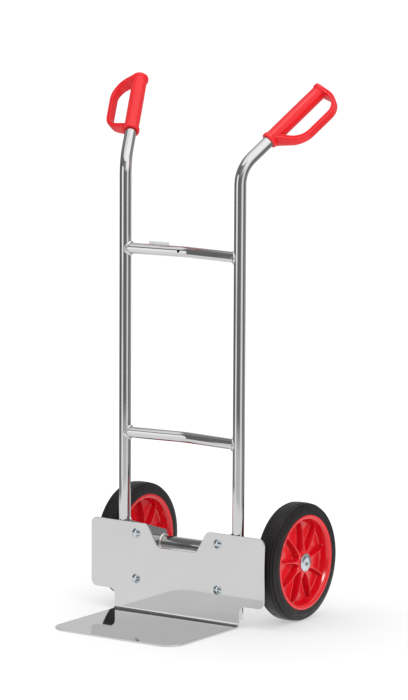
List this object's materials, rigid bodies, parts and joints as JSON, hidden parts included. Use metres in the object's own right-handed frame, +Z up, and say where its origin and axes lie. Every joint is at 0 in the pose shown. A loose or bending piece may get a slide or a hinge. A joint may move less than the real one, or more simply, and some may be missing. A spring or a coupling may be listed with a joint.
{
  "type": "hand truck",
  "caption": "Two-wheeled upright hand truck with a bent load plate, tubular frame, solid tyres and splayed handles with knuckle guards.",
  "frame": {"origin": "on the floor, at the middle of the truck's width and of its length from the toe's tip to the back of the tyres", "axes": "+Z up, +X across to the right as seen from the toe, -Y towards the toe and +Y towards the wheels"},
  "size_m": [0.5622, 0.504, 1.1287],
  "materials": {
    "load_plate": "smooth satin-bright plating",
    "zinc_fasteners": "bright zinc",
    "chromed_tube": "bright mirror plating",
    "blank_tab": "plain, blank",
    "weld_bead": "rippled bead under the plating",
    "chromed_bracket": "bright plating on sheet and pipe",
    "zinc_caps": "bright zinc, pressed",
    "black_tyre": "matt black solid rubber",
    "red_rim": "glossy moulded plastic",
    "nylon_bush": "natural nylon",
    "red_grip": "glossy moulded plastic"
  },
  "bodies": {
    "frame": {"toe_plate": "load_plate", "plate_bolts": "zinc_fasteners", "plate_washers": "zinc_fasteners", "plate_nuts": "zinc_fasteners", "left_rail": "chromed_tube", "right_rail": "chromed_tube", "lower_cross_tube": "chromed_tube", "upper_cross_tube": "chromed_tube", "type_plate": "blank_tab", "cross_tube_welds": "weld_bead", "left_bracket": "chromed_bracket", "right_bracket": "chromed_bracket", "bracket_welds": "weld_bead", "axle_tube": "chromed_bracket", "axle_tube_welds": "weld_bead", "axle_rod": "zinc_fasteners", "inner_washers": "zinc_fasteners", "axle_caps": "zinc_caps", "left_grip": "red_grip", "right_grip": "red_grip"},
    "left_wheel": {"left_tyre": "black_tyre", "left_rim": "red_rim", "left_bush": "nylon_bush"},
    "right_wheel": {"right_tyre": "black_tyre", "right_rim": "red_rim", "right_bush": "nylon_bush"}
  },
  "joints": [
    {"name": "left_wheel_spin", "type": "hinge", "parent": "frame", "child": "left_wheel", "pos_m": [-0.1985, 0.127, 0.125], "axis": [1, 0, 0], "continuous": true},
    {"name": "right_wheel_spin", "type": "hinge", "parent": "frame", "child": "right_wheel", "pos_m": [0.2095, 0.127, 0.125], "axis": [1, 0, 0], "continuous": true}
  ]
}
